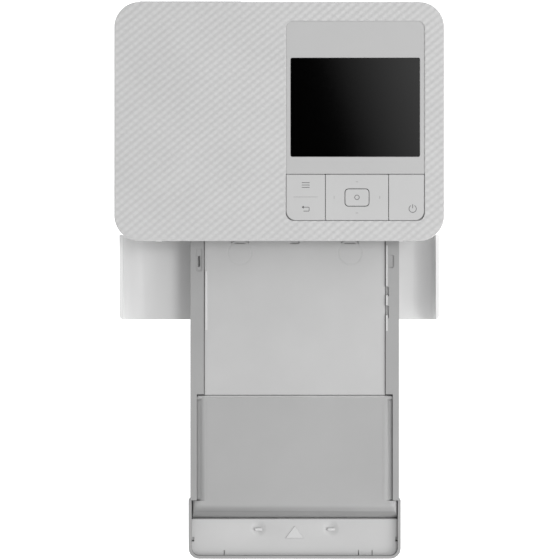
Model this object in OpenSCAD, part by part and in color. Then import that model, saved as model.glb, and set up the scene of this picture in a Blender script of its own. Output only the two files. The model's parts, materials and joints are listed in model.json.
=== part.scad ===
// Compact photo printer, seen with its front cover folded down and its paper cassette pushed in.
// X runs to the right, Y to the back and Z up. The origin is the centre of the footprint.
// Places inside the modules count Y from the front face of the casing.

/* [Casing] */
// Width of the casing
body_w = 182.2; // [170:0.2:200]
// Depth of the casing without the raised rear pad
body_d = 132; // [128:1:150]
// Height of the whole printer on its feet
body_h = 57.6; // [57:0.2:64]
// Corner radius in plan
corner_r = 14; // [10:1:18]
// Wall of the plastic shells
wall = 2.2; // [1.6:0.1:2.6]
// Depth of the top cover's rim
cover_h = 5.6; // [5:0.1:6.4]
// Height of the seam between bottom case and side shell
seam_z = 17; // [16.6:0.1:18]
// How far the pad on the rear wall stands out
pad_t = 1; // [0.4:0.2:3]
// Height of the rubber feet
foot_h = 2; // [1.4:0.2:3]
// Radius of the rubber feet
foot_r = 6; // [4:0.5:7]

/* [Front cover] */
// Thickness of the front cover
flap_t = 2; // [1.4:0.1:2.2]
// Height of the front cover when it is closed
flap_h = 48.4; // [40:0.2:48.4]
// Height of the front cover's hinge axis
flap_axis_z = 4.2; // [4.2:0.1:4.6]
// Distance of the hinge axis behind the front face
flap_axis_y = 3; // [2.6:0.1:3.4]
// Radius of the hinge pins
flap_pin_r = 1; // [0.8:0.1:1.2]

/* [Paper cassette] */
// Width of the cassette body
tray_w = 117.6; // [112:0.2:120]
// Offset of the cassette to the right of the casing's middle
tray_x = 8.7; // [4:0.1:12]
// Length of the cassette in front of the casing
tray_out = 179; // [160:1:190]
// Height of the cassette's underside
tray_z = 12; // [11.6:0.1:13]
// Height of the cassette's rails
tray_h = 17.4; // [16:0.1:18]
// Width of the side rails beside the rear cover
rail_w = 7.6; // [6:0.1:9]
// Width of the side rails beside the front lid
lid_rail_w = 3.6; // [3.2:0.1:5]
// Wall of the cassette
tray_wall = 2; // [1.4:0.1:2.4]
// Width of the front grip
grip_w = 119.8; // [118:0.2:124]
// Depth of the plate in the front grip
plate_d = 22.8; // [18:0.2:28]
// Length of the front grip's sides
grip_d = 33.2; // [30:0.2:38]
// Length of the front lid
lid_l = 69.6; // [60:0.2:74]
// Thickness of the cassette's covers
lid_t = 1.8; // [1.2:0.1:2.2]

/* [Control panel] */
// Left edge of the control panel, from the casing's middle
panel_x = 3.6; // [0:0.1:6]
// Width of the control panel
panel_w = 76.6; // [75:0.1:80]
// Front edge of the control panel, from the front face
panel_y = 11.1; // [8:0.1:14]
// Depth of the button strip
keys_d = 25.7; // [24:0.1:28]
// Depth of the display part behind the button strip
display_d = 84.7; // [80:0.1:88]
// How far the panel lies below the top
panel_drop = 0.4; // [0.2:0.1:0.8]
// Width of the screen
screen_w = 71.5; // [66:0.1:72]
// Depth of the screen
screen_d = 54.7; // [50:0.1:56]
// Gap between neighbouring keys
key_gap = 0.3; // [0.2:0.05:0.5]
// Width of the left key
menu_w = 21.8; // [20:0.1:23]
// Width of the navigation key
nav_w = 34.9; // [33:0.1:36]
// Key travel
key_travel = 0.4; // [0.2:0.05:0.5]

/* [Print engine] */
// Thickness of the chassis plates
plate_t = 1.5; // [1:0.1:2]
// Height of the paper path
path_z = 27; // [26.6:0.1:27.4]
// Radius of the feed roller
capstan_r = 3; // [2.5:0.1:3.2]
// Radius of the platen roller
platen_r = 8; // [7:0.1:8]
// Radius of the ink ribbon on the full spool
ribbon_r = 9; // [7:0.1:9]
// Radius of the ribbon on the take-up spool
takeup_r = 6; // [5:0.1:8]
// Tooth module of the gears
gear_m = 0.8; // [0.7:0.05:0.8]
// Width of the gears
gear_w = 4; // [3:0.2:4.4]
// Size of the cooling fan
fan_size = 30; // [28:1:31]
// Thickness of the cooling fan
fan_t = 10; // [8:0.5:10]

/* [Ink door] */
// Length of the ink door
door_l = 66; // [62:0.5:67]
// Height of the ink door
door_h = 24.4; // [22:0.1:24.6]

/* [Clearances] */
// Radial clearance of a shaft in its bearing
run_gap = 0.05; // [0.02:0.01:0.08]
// Gap between a loose part and what it fits into
fit_gap = 0.3; // [0.25:0.05:0.4]

/* [Hidden] */
$fn = 64;

// Overlap that makes cuts run cleanly through a face
cut = 1;
// Overlap between fused shapes
fuse = 0.2;

// The casing's front face lies this far in front of the origin
front_y = (tray_out - body_d - pad_t) / 2;
half_w = body_w / 2;
cover_z = body_h - cover_h;
top_plate_t = 2.5;
under_top = body_h - top_plate_t;
floor_top = foot_h + wall;

// Front cover and the recess that takes it
flap_seat = flap_t + fit_gap;
flap_low = 3;
flap_arc_x = half_w - corner_r;
flap_sweep = norm([corner_r - flap_axis_y, flap_axis_z - flap_low]) + fit_gap;
flap_round = 2.4;
hinge_edge = flap_arc_x - 0.6;
hinge_x = hinge_edge - 10.5;
hinge_ear = 3;
hinge_boss_r = 2;
base_front_y = 6;
shelf_z = flap_axis_z + flap_sweep + 0.2;

// Cassette
lid_end = tray_out - plate_d;
lid_start = lid_end - lid_l;
grip_start = tray_out - grip_d;
tray_l = tray_x - tray_w / 2;
tray_r = tray_x + tray_w / 2;
tray_top = tray_z + tray_h;
cover_top = tray_top - 0.9;
port_gap = 3.2;
port_low = tray_z - 1.5;
port_high = cover_z - 6;
lid_axis_z = cover_top - lid_t / 2 - 0.6;
lid_pin_r = 1.2;

// Control panel
panel_r = panel_x + panel_w;
keys_end = panel_y + keys_d;
panel_back = keys_end + display_d;
panel_top = body_h - panel_drop;
bezel_t = 1.8;
key_t = 1.3;
ledge_t = 1.4;
ledge_w = 2;
screen_x = panel_x + (panel_w - screen_w) / 2;
screen_y = keys_end + 9.6;
key_under = panel_top - key_t;
ledge_z = panel_top - bezel_t - ledge_t;
board_t = 1.5;
dome_h = 0.5;
key_mid_y = panel_y + keys_d / 2;
ok_w = 13;
ok_d = 9.3;

// Print engine: left and right plates, roller axes as [y, z]
plate_l = tray_l - 6;
plate_r = tray_r + 5.6;
fan_gap = 0.8;
plate_y1 = body_d - wall - fan_t - fan_gap;
plate_top = cover_z - 0.6;
spool_z = plate_top - 13.4;
takeup_yz = [plate_y1 - 14, spool_z];
spool_step = 19;
platen_yz = [takeup_yz[0] - spool_step, path_z - platen_r];
supply_yz = [platen_yz[0] - spool_step, spool_z];
capstan_yz = [supply_yz[0] - 16.5, path_z - capstan_r];
tray_in = capstan_yz[0] - 8.5;
plate_y0 = tray_in - 19.5;
pinch_r = 3;
pinch_yz = [capstan_yz[0], path_z + pinch_r + 0.1];
head_axis_yz = [plate_y1 - 2, plate_top - 1.8];
capstan_n = 30;
pinion_n = 12;
idler_n = 30;
platen_n = 20;
gear_x = plate_l - plate_t - 1 - gear_w;
bracket_x = gear_x - 1 - plate_t;
motor_l = bracket_x + half_w - wall - 4.8;
feed_motor_r = 12;
ribbon_motor_r = 7.5;

// Centre of a wheel that meshes with wheels at a and b, at distances ra and rb, on their upper side
function third(a, b, ra, rb) =
  let (span = norm(b - a), u = (b - a) / span, along = (ra^2 - rb^2 + span^2) / (2 * span))
  a + along * u + sqrt(ra^2 - along^2) * [-u[1], u[0]];
function pitch_r(n) = gear_m * n / 2;
function mesh_gap(a, b) = pitch_r(a) + pitch_r(b) + 0.05;
// Turn of a wheel with m teeth that fits it to a wheel with n teeth turned by t, in direction dir
function mesh_turn(t, n, dir, m) = dir + 180 - (0.5 - (dir - t) * n / 360) * 360 / m;
function toward(a, b) = atan2(b[1] - a[1], b[0] - a[0]);

idler_yz = third(capstan_yz, platen_yz, mesh_gap(capstan_n, idler_n), mesh_gap(idler_n, platen_n));
pinion_dir = 150;
pinion_yz = capstan_yz + mesh_gap(capstan_n, pinion_n) * [cos(pinion_dir), sin(pinion_dir)];
ribbon_pinion_yz = takeup_yz - [0, mesh_gap(idler_n, pinion_n)];
idler_turn = mesh_turn(0, capstan_n, toward(capstan_yz, idler_yz), idler_n);
platen_turn = mesh_turn(idler_turn, idler_n, toward(idler_yz, platen_yz), platen_n);
pinion_turn = mesh_turn(0, capstan_n, pinion_dir, pinion_n);

// Shared shapes ------------------------------------------------------------

module from_front() translate([0, front_y, 0]) children();
module block(low, high) translate(low) cube(high - low);
module rod_x(x0, x1, yz, r) translate([x0, yz[0], yz[1]]) rotate([0, 90, 0]) cylinder(h = x1 - x0, r = r);
module round_rect(x0, x1, y0, y1, r) {
  translate([x0 + r, y0]) square([x1 - x0 - 2 * r, y1 - y0]);
  translate([x0, y0 + r]) square([x1 - x0, y1 - y0 - 2 * r]);
  for (x = [x0 + r, x1 - r], y = [y0 + r, y1 - r]) translate([x, y]) circle(r);
}
module slab(x0, x1, y0, y1, z0, z1, r) translate([0, 0, z0])
  linear_extrude(z1 - z0) round_rect(x0, x1, y0, y1, r);

// The casing's plan, drawn in by an inset
module plan(inset = 0)
  round_rect(-half_w + inset, half_w - inset, inset, body_d - inset, corner_r - inset);
// The band at the front that the closed front cover fills
module front_band(t) difference() {
  intersection() {
    plan();
    translate([-half_w - cut, -cut]) square([body_w + 2 * cut, corner_r + cut]);
  }
  plan(t);
}
// A spur gear with straight-sided teeth, turning on the X axis
module gear(n, yz, x0, w, turn, bore) translate([x0, yz[0], yz[1]]) rotate([turn, 0, 0])
  rotate([90, 0, 90]) linear_extrude(w) difference() {
    union() {
      circle(pitch_r(n) - gear_m);
      for (i = [0 : n - 1]) rotate(i * 360 / n) tooth(n);
    }
    circle(bore);
  }
module tooth(n) {
  root = pitch_r(n) - gear_m * 1.2;
  tip = pitch_r(n) + gear_m * 0.8;
  polygon([
    [root, -gear_m * 0.85], [pitch_r(n), -gear_m * 0.64], [tip, -gear_m * 0.3],
    [tip, gear_m * 0.3], [pitch_r(n), gear_m * 0.64], [root, gear_m * 0.85]
  ]);
}

// Casing -------------------------------------------------------------------

boss_x = half_w - 8;
boss_in = 11;
boss_ys = [base_front_y + 20, body_d - boss_in];
screw_r = 1.6;
screw_head_r = 3;
boss_r = 3.6;
boss_top = seam_z + 2.6;
foot_x = boss_x - 11.1;
foot_ys = [base_front_y + 20, body_d - boss_in - 5];
usb_y = 62;
usb_w = 9;
jack_x = -foot_x - 0.1;
jack_r = 2.8;
board_z = floor_top + 1.8;
board_x0 = -half_w + wall + 1.2;
board_x1 = plate_l - 2 * plate_t;
board_y0 = 33;
board_y1 = body_d - boss_in - 5;
pcb_t = 1.6;
port_z = board_z + pcb_t + 1.6;

// The bottom case's plan, drawn in from the hinge recess and the corner notches
module base_plan(inset) difference() {
  plan(inset);
  translate([-half_w, -cut]) square([body_w, base_front_y + inset + cut]);
  for (s = [-1, 1]) {
    notch = half_w - hinge_edge + inset;
    translate([s * (half_w - notch / 2), corner_r / 2 + inset / 2])
      square([notch, corner_r + inset + 1.2], center = true);
  }
}

module bottom_case() color("gainsboro") from_front() difference() {
  union() {
    translate([0, 0, foot_h]) linear_extrude(wall) base_plan(0);
    translate([0, 0, foot_h]) linear_extrude(seam_z - foot_h) difference() {
      base_plan(0);
      base_plan(wall);
    }
    // Shelf that closes the step between the two fronts
    translate([0, 0, shelf_z]) linear_extrude(seam_z - shelf_z) difference() {
      plan(flap_seat);
      translate([-half_w, corner_r + wall + 1]) square([body_w, body_d]);
      translate([-hinge_edge + 2, base_front_y + wall + 1]) square([2 * hinge_edge - 4, body_d]);
    }
    for (s = [-1, 1]) hinge_ear_at(s * (hinge_x + hinge_ear / 2 + fit_gap + hinge_ear / 2));
    for (x = [-boss_x, boss_x], y = boss_ys)
      translate([x, y, foot_h]) cylinder(h = floor_top - foot_h + 1, r = boss_r);
    for (x = [board_x0 + 5, board_x1 - 5], y = [board_y0 + 5, board_y1 - 5])
      translate([x, y, floor_top - fuse]) cylinder(h = board_z - floor_top + fuse, r = 2.4);
  }
  // Mouth of the cassette port
  block([tray_l - port_gap, -cut, port_low], [tray_r + port_gap, corner_r + wall + 2, seam_z + cut]);
  for (x = [-boss_x, boss_x], y = boss_ys) translate([x, y, foot_h - cut]) {
    cylinder(h = wall + 3, r = screw_r + run_gap);
    cylinder(h = cut + 1.2, r = screw_head_r + fit_gap);
  }
  // Data socket on the left and power inlet at the back
  block([-half_w - cut, usb_y - usb_w / 2 - fit_gap, port_z - 1.6 - fit_gap],
        [-half_w + wall + cut, usb_y + usb_w / 2 + fit_gap, port_z + 1.6 + fit_gap]);
  translate([jack_x, body_d + cut, board_z + pcb_t + jack_r + 0.6]) rotate([90, 0, 0])
    cylinder(h = wall + 2 * cut, r = jack_r + 0.2);
  // Recess for a rating plate, left bare
  slab(-30, 30, 50, 84, foot_h - cut, foot_h + 0.4, 3);
}
module hinge_ear_at(x) difference() {
  union() {
    rod_x(x - hinge_ear / 2, x + hinge_ear / 2, [flap_axis_y, flap_axis_z], hinge_boss_r);
    block([x - hinge_ear / 2, flap_axis_y, flap_axis_z - hinge_boss_r],
          [x + hinge_ear / 2, base_front_y + 1, flap_axis_z + hinge_boss_r]);
  }
  rod_x(x - hinge_ear, x + hinge_ear, [flap_axis_y, flap_axis_z], flap_pin_r + 0.01);
}

module feet() color("dimgray") from_front()
  for (x = [-foot_x, foot_x], y = foot_ys) translate([x, y, 0]) cylinder(h = foot_h, r = foot_r);

module case_screws() color("silver") from_front()
  for (x = [-boss_x, boss_x], y = boss_ys) translate([x, y, foot_h + 0.2]) {
    cylinder(h = 1, r = screw_head_r);
    cylinder(h = boss_top - foot_h - 3, r = screw_r);
  }

pad_x0 = -77.4;
pad_x1 = -21.1;
pad_z0 = 34;
fan_x0 = pad_x0 + 1;
fan_z0 = cover_z - 1.8 - fan_size;
slot_x0 = tray_l + 5;
slot_x1 = tray_r - 5;
slot_low = path_z - 2;
slot_high = path_z + 3;
door_y = plate_y1 - door_l;
door_z = cover_z - 3 - door_h;
card_w = 25;
card_y = door_y - card_w / 2 - 10;
card_z = 39.6;
card_h = 2.4;
card_gap = 1.3;
card_in = half_w - wall - plate_r - plate_t - card_gap;
card_x0 = half_w - wall - card_in;
shelf_t = 1.6;
door_end = door_y + door_l;
door_axis = [half_w - wall / 2, door_end - wall / 2];
door_pin_r = 0.6;
door_pin_l = 3.4;

module side_shell() color("gainsboro") from_front() difference() {
  union() {
    translate([0, 0, seam_z]) linear_extrude(cover_z - seam_z) difference() {
      plan();
      front_band(flap_seat);
      plan(flap_seat + wall);
      intersection() {
        plan(wall);
        translate([-half_w, corner_r + wall]) square([body_w, body_d]);
      }
    }
    // Raised pad on the rear wall
    block([pad_x0, body_d - fuse, pad_z0], [pad_x1, body_d + pad_t, cover_z - 1]);
    // Screw pillars with the ribs that join them to the side walls
    for (s = [-1, 1], y = boss_ys) {
      translate([s * boss_x, y, floor_top + 1]) cylinder(h = boss_top - floor_top - 1, r = boss_r);
      translate([s * (boss_x + (half_w - wall - boss_x) / 2 + fuse), y, (seam_z + boss_top) / 2])
        cube([half_w - wall - boss_x, 2, boss_top - seam_z], center = true);
    }
    // Shelf under the card board
    block([card_x0 + 1, card_y - card_w / 2 - 2, card_z - card_h - pcb_t - shelf_t],
          [half_w - wall + fuse, card_y + card_w / 2 + 2, card_z - card_h - pcb_t]);
  }
  for (s = [-1, 1], y = boss_ys)
    translate([s * boss_x, y, floor_top]) cylinder(h = boss_top, r = screw_r + 0.02);
  // Cassette port
  block([tray_l - port_gap, -cut, port_low], [tray_r + port_gap, corner_r + wall + cut, port_high]);
  // Paper slot in the rear wall
  block([slot_x0, body_d - wall - cut, slot_low], [slot_x1, body_d + cut, slot_high]);
  // Air slots in front of the fan
  for (i = [0 : 6]) {
    x = fan_x0 + 3 + i * (fan_size - 6) / 6;
    block([x - 0.9, body_d - wall - cut, fan_z0 + 4],
          [x + 0.9, body_d + pad_t + cut, fan_z0 + fan_size - 4]);
  }
  // Opening for the ink door, with bores for its pins
  block([half_w - wall - cut, door_y - fit_gap, door_z - fit_gap],
        [half_w + cut, door_end + fit_gap, door_z + door_h + fit_gap]);
  for (z = [door_z - door_pin_l / 2, door_z + door_h - door_pin_l / 2])
    translate([door_axis[0], door_axis[1], z]) cylinder(h = door_pin_l, r = door_pin_r + 0.02);
  // Slot for the memory card
  block([half_w - wall - cut, card_y - card_w / 2, card_z - card_h],
        [half_w + cut, card_y + card_w / 2, card_z]);
  // Louvres on the left wall
  for (i = [0 : 7]) {
    y = 66 + i * 5;
    block([-half_w - cut, y, seam_z + 6], [-half_w + wall + cut, y + 1.8, seam_z + 16]);
  }
}

module top_cover() color("whitesmoke") from_front() difference() {
  union() {
    translate([0, 0, under_top]) linear_extrude(top_plate_t) plan();
    translate([0, 0, cover_z]) linear_extrude(cover_h) difference() {
      plan();
      plan(wall);
    }
    block([panel_x - ledge_w, panel_y - ledge_w, ledge_z],
          [panel_r + ledge_w, panel_back + ledge_w, under_top + fuse]);
  }
  slab(panel_x, panel_r, panel_y, panel_back, ledge_z + ledge_t, body_h + cut, 4.2);
  block([panel_x + ledge_w, panel_y + ledge_w, cover_z - cut],
        [panel_r - ledge_w, panel_back - ledge_w, body_h]);
}

// Control panel ------------------------------------------------------------

module display_bezel() color("whitesmoke") from_front() difference() {
  slab(panel_x + fit_gap, panel_r - fit_gap, panel_y, panel_back - fit_gap,
       panel_top - bezel_t, panel_top, 3.9);
  block([panel_x - cut, panel_y - cut, panel_top - bezel_t - cut],
        [panel_r + cut, keys_end + key_gap / 2, panel_top + cut]);
  slab(screen_x, screen_x + screen_w, screen_y, screen_y + screen_d,
       panel_top - bezel_t - cut, panel_top + cut, 1);
}
module screen_lens() color("black") from_front()
  slab(screen_x + 0.05, screen_x + screen_w - 0.05, screen_y + 0.05, screen_y + screen_d - 0.05,
       panel_top - bezel_t, panel_top - 0.2, 0.95);
module lcd_module() color("dimgray") from_front()
  block([panel_x + ledge_w + 0.4, screen_y - 2.5, cover_z + 0.6],
        [panel_r - ledge_w - 0.4, screen_y + screen_d + 2.5, panel_top - bezel_t]);
module key_board() color("darkgreen") from_front() {
  block([panel_x + 0.5, panel_y + 0.5, ledge_z - board_t],
        [panel_r - 0.5, keys_end - 1, ledge_z]);
  for (at = dome_places) translate([at[0], at[1], ledge_z - fuse]) cylinder(h = dome_h + fuse, r = 2.2);
}
nav_x0 = panel_x + menu_w;
nav_x1 = nav_x0 + nav_w;
nav_mid_x = (nav_x0 + nav_x1) / 2;
power_mid_x = (nav_x1 + panel_r) / 2;
menu_mid_x = (panel_x + nav_x0) / 2;
dome_places = [
  [menu_mid_x, key_mid_y - 6], [menu_mid_x, key_mid_y + 6],
  [nav_mid_x - 13, key_mid_y], [nav_mid_x + 13, key_mid_y],
  [nav_mid_x, key_mid_y - 8.6], [nav_mid_x, key_mid_y + 8.6],
  [power_mid_x, key_mid_y]
];
stem_end = ledge_z + dome_h + key_travel + 0.1;
module key_plate(x0, x1) intersection() {
  slab(x0 + key_gap / 2, x1 - key_gap / 2, panel_y + key_gap, keys_end - key_gap / 2,
       key_under, panel_top, 0.5);
  slab(panel_x + key_gap, panel_r - key_gap, panel_y + key_gap, panel_back,
       key_under - cut, panel_top + cut, 5.2);
}
pivot_z = (ledge_z + key_under) / 2;
pivot_r = 0.7;
pivot_l = 7;
pivot_arm = 4.8;
pivot_bore = 2;
module stem(at) translate([at[0], at[1], stem_end]) cylinder(h = key_under - stem_end + fuse, r = 1.5);
module menu_key() color("whitesmoke") from_front() {
  key_plate(panel_x, nav_x0);
  for (i = [0, 1]) stem(dome_places[i]);
  // Ridge that the key rocks on
  rod_x(menu_mid_x - pivot_l, menu_mid_x + pivot_l, [key_mid_y, pivot_z], pivot_r);
  block([menu_mid_x - pivot_l, key_mid_y - pivot_r / 2, pivot_z],
        [menu_mid_x + pivot_l, key_mid_y + pivot_r / 2, key_under + fuse]);
}
module nav_pivot() color("gray") from_front() difference() {
  union() {
    rod_x(nav_mid_x - pivot_l, nav_mid_x + pivot_l, [key_mid_y, pivot_z], pivot_r);
    translate([nav_mid_x, key_mid_y - pivot_arm, pivot_z]) rotate([-90, 0, 0])
      cylinder(h = 2 * pivot_arm, r = pivot_r);
    translate([nav_mid_x, key_mid_y, pivot_z - pivot_r]) cylinder(h = 2 * pivot_r, r = pivot_bore + 1.2);
  }
  translate([nav_mid_x, key_mid_y, ledge_z]) cylinder(h = 4, r = pivot_bore);
}
module nav_key() color("whitesmoke") from_front() {
  difference() {
    key_plate(nav_x0, nav_x1);
    slab(nav_mid_x - ok_w / 2 - key_gap, nav_mid_x + ok_w / 2 + key_gap,
         key_mid_y - ok_d / 2 - key_gap, key_mid_y + ok_d / 2 + key_gap,
         key_under - cut, panel_top + cut, 2.1);
  }
  for (i = [2 : 5]) stem(dome_places[i]);
}
module ok_key() color("whitesmoke") from_front() {
  slab(nav_mid_x - ok_w / 2, nav_mid_x + ok_w / 2, key_mid_y - ok_d / 2, key_mid_y + ok_d / 2,
       key_under + key_travel + 0.1, panel_top + 0.2, 1.9);
  translate([nav_mid_x, key_mid_y, ledge_z + dome_h]) cylinder(h = key_under + 0.6 - ledge_z - dome_h, r = 1.4);
}
module power_key() color("whitesmoke") from_front() {
  key_plate(nav_x1, panel_r);
  stem(dome_places[6]);
}

// Front cover --------------------------------------------------------------

flap_axis_yz = [flap_axis_y, flap_axis_z];
// Turns a shape drawn for the closed cover to the open one
module folded_down() translate([0, flap_axis_y, flap_axis_z]) rotate([90, 0, 0])
  translate([0, -flap_axis_y, -flap_axis_z]) children();
module front_cover() color("gainsboro") from_front() {
  difference() {
    union() {
      folded_down() intersection() {
        translate([0, 0, flap_low]) linear_extrude(flap_h) front_band(flap_t);
        translate([0, corner_r + cut, 0]) rotate([90, 0, 0]) linear_extrude(corner_r + 2 * cut)
          round_rect(-half_w, half_w, 0, flap_low + flap_h, flap_round);
      }
      for (s = [-1, 1]) translate([s * hinge_x, 0, 0]) {
        rod_x(-hinge_ear / 2, hinge_ear / 2, flap_axis_yz, hinge_boss_r - 0.3);
        block([-hinge_ear / 2, flap_axis_y - hinge_boss_r, flap_axis_z - flap_axis_y],
              [hinge_ear / 2, flap_axis_y + 1, flap_axis_z]);
      }
    }
    for (s = [-1, 1]) {
      ear_x = s * (hinge_x + hinge_ear + fit_gap);
      rod_x(s * hinge_x - hinge_ear, s * hinge_x + hinge_ear, flap_axis_yz, flap_pin_r + run_gap);
      block([ear_x - hinge_ear / 2 - fit_gap, flap_axis_y - hinge_boss_r - fit_gap, 0],
            [ear_x + hinge_ear / 2 + fit_gap, base_front_y, flap_axis_z + 3]);
    }
  }
}
module front_cover_pins() color("silver") from_front() for (s = [-1, 1]) {
  middle = s * (hinge_x + (hinge_ear + fit_gap) / 2);
  rod_x(middle - hinge_ear - fit_gap / 2, middle + hinge_ear + fit_gap / 2, flap_axis_yz, flap_pin_r);
}

// Ink door -----------------------------------------------------------------

module ink_door() color("gainsboro") from_front() difference() {
  union() {
    block([half_w - wall, door_y, door_z], [half_w, door_axis[1], door_z + door_h]);
    translate([door_axis[0], door_axis[1], door_z]) cylinder(h = door_h, r = wall / 2);
  }
  for (z = [door_z - cut, door_z + door_h - door_pin_l / 2])
    translate([door_axis[0], door_axis[1], z]) cylinder(h = door_pin_l / 2 + cut, r = door_pin_r + run_gap);
  // Finger notch at the free end
  translate([half_w + 0.6, door_y, door_z + door_h / 2]) sphere(r = 1.5);
}
module ink_door_pins() color("silver") from_front()
  for (z = [door_z - door_pin_l / 2 + 0.2, door_z + door_h - door_pin_l / 2 + 0.2])
    translate([door_axis[0], door_axis[1], z]) cylinder(h = door_pin_l - 0.4, r = door_pin_r);

// Paper cassette -----------------------------------------------------------

rail_l = tray_l + rail_w;
rail_r = tray_r - rail_w;
rail_t = 5;
ledge_in = 1.6;
ledge_drop = 1.2;
lid_axis_yz = [-lid_start - 1.8, lid_axis_z];
lid_round = cover_top - lid_axis_z;
// Room that the lid needs behind its axis when it stands open, at the cover's and at the rail's height
cover_y0 = lid_axis_yz[0] + lid_round + 0.65;
rail_y0 = cover_y0 + 0.2;
lid_x0 = tray_l + lid_rail_w + fit_gap;
lid_x1 = tray_r - lid_rail_w - fit_gap;
lid_pin_l = 2;
grip_l = tray_x - grip_w / 2;
grip_r = tray_x + grip_w / 2;
grip_wall = 1.7;
grip_round = 6;
grip_top = tray_top - 2.4;
grip_plate_z = grip_top - 3.2;
grip_plate_t = 1.6;
plate_gap = 0.7;
nose_r = 7.9;
side_round = 4.2;
nose_z = cover_top - nose_r;
lid_low = tray_z + 11.7;
nose_y1 = -grip_start - fit_gap;
rear_cover_end = tray_in - 22;
lift_y0 = -lid_start - 13.4;
lift_axis_yz = [lift_y0, tray_z + tray_wall + 1.2];
lift_pin_r = 1;

// A bar along one side of the cassette, s = -1 for the left side
module side_bar(s, w, y0, y1, z0, z1) {
  middle = tray_x + s * (tray_w - w) / 2;
  block([middle - w / 2, y0, z0], [middle + w / 2, y1, z1]);
}
// The grip's plan from its front to y, drawn in by an inset
module grip_plan(inset, y) difference() {
  round_rect(grip_l + inset, grip_r - inset, -tray_out + inset, y + grip_round + 1, grip_round - inset);
  translate([grip_l - cut, y]) square([grip_w + 2 * cut, grip_round + 2 * cut]);
}
module cassette_tray() color("darkgray") from_front() difference() {
  union() {
    block([tray_l, -lid_end, tray_z], [tray_r, tray_in, tray_z + tray_wall]);
    for (s = [-1, 1]) {
      side_bar(s, tray_wall, -grip_start, tray_in, tray_z, tray_top);
      side_bar(s, tray_wall, -lid_end, -grip_start + fuse, tray_z, nose_z - fit_gap);
      side_bar(s, rail_w, rail_y0, tray_in, tray_top - rail_t, tray_top);
      side_bar(s, lid_rail_w, -grip_start, rail_y0 + fuse, tray_top - rail_t, tray_top);
      // Ledge that carries the rear cover
      side_bar(s, rail_w + ledge_in, rail_y0, rear_cover_end,
               cover_top - lid_t - ledge_drop, cover_top - lid_t);
    }
    block([tray_l, tray_in - tray_wall, tray_z], [tray_r, tray_in, tray_z + 9]);
    // Front wall, which reaches under the gap between the lid and the front plate
    block([tray_l, -lid_end - plate_gap - 0.4, tray_z], [tray_r, -lid_end + tray_wall, nose_z - fit_gap]);
    translate([0, 0, tray_z]) linear_extrude(tray_wall) grip_plan(0, -grip_start);
    translate([0, 0, tray_z]) linear_extrude(grip_top - tray_z) difference() {
      grip_plan(0, -grip_start);
      grip_plan(grip_wall, -grip_start + cut);
    }
  }
  // Marks and catches along the rails
  slab(tray_l + 4.1, tray_l + 5.5, -14.2, -8, tray_top - 2.5, tray_top + cut, 0.69);
  slab(tray_l + 3.2, tray_l + 6.6, -16.6, -4, tray_top - 0.4, tray_top + cut, 1);
  slab(tray_r - 5.7, tray_r - 2.9, -14.8, -7.5, tray_top - 0.6, tray_top + cut, 1);
  for (y = [[-30.6, -25.5], [-43, -36.2]])
    block([rail_r - cut, y[0], cover_top - fuse], [rail_r + 1.8, y[1], tray_top + cut]);
  // Slits in the front of the grip
  for (x = slit_xs)
    block([x - slit_w / 2, -tray_out - cut, tray_z + 4], [x + slit_w / 2, -tray_out + grip_wall + cut, grip_plate_z]);
  // Bores for the lid and the lift plate
  rod_x(lid_x0 - fit_gap - lid_pin_l, lid_x1 + fit_gap + lid_pin_l, lid_axis_yz, lid_pin_r + run_gap);
  rod_x(tray_l + 0.4, tray_r - 0.4, lift_axis_yz, lift_pin_r + run_gap);
}
slit_w = 0.8;
slit_xs = [tray_x - 39.9, tray_x + 36.1, tray_x + 43.8];

module cassette_rear_cover() color("silver") from_front() difference() {
  // Its front edge leans back above the lid's axis, so that the gap to the lid stays narrow
  translate([rail_l + fit_gap, 0, 0]) rotate([90, 0, 90])
    linear_extrude(rail_r - rail_l - 2 * fit_gap) polygon([
      [lid_axis_yz[0] + lid_round + fit_gap, cover_top - lid_t],
      [lid_axis_yz[0] + lid_round + fit_gap, lid_axis_z + 0.5],
      [cover_y0, cover_top], [rear_cover_end, cover_top], [rear_cover_end, cover_top - lid_t]
    ]);
  // Shallow round marks where the stack is felt for
  for (s = [-1, 1]) translate([tray_x + s * mark_x, -6.2, cover_top - mark_t]) difference() {
    cylinder(h = 1, r = mark_r);
    translate([0, 0, -cut]) cylinder(h = 3, r = mark_r - 0.5);
  }
  for (at = [[-mark_x, 4.9], [0, 2.5], [mark_x, 4.9]])
    block([tray_x + at[0] - at[1], -1, cover_top - 0.5], [tray_x + at[0] + at[1], 9, cover_top + cut]);
}
mark_x = 31;
mark_r = 6.9;
mark_t = 0.15;

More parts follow.
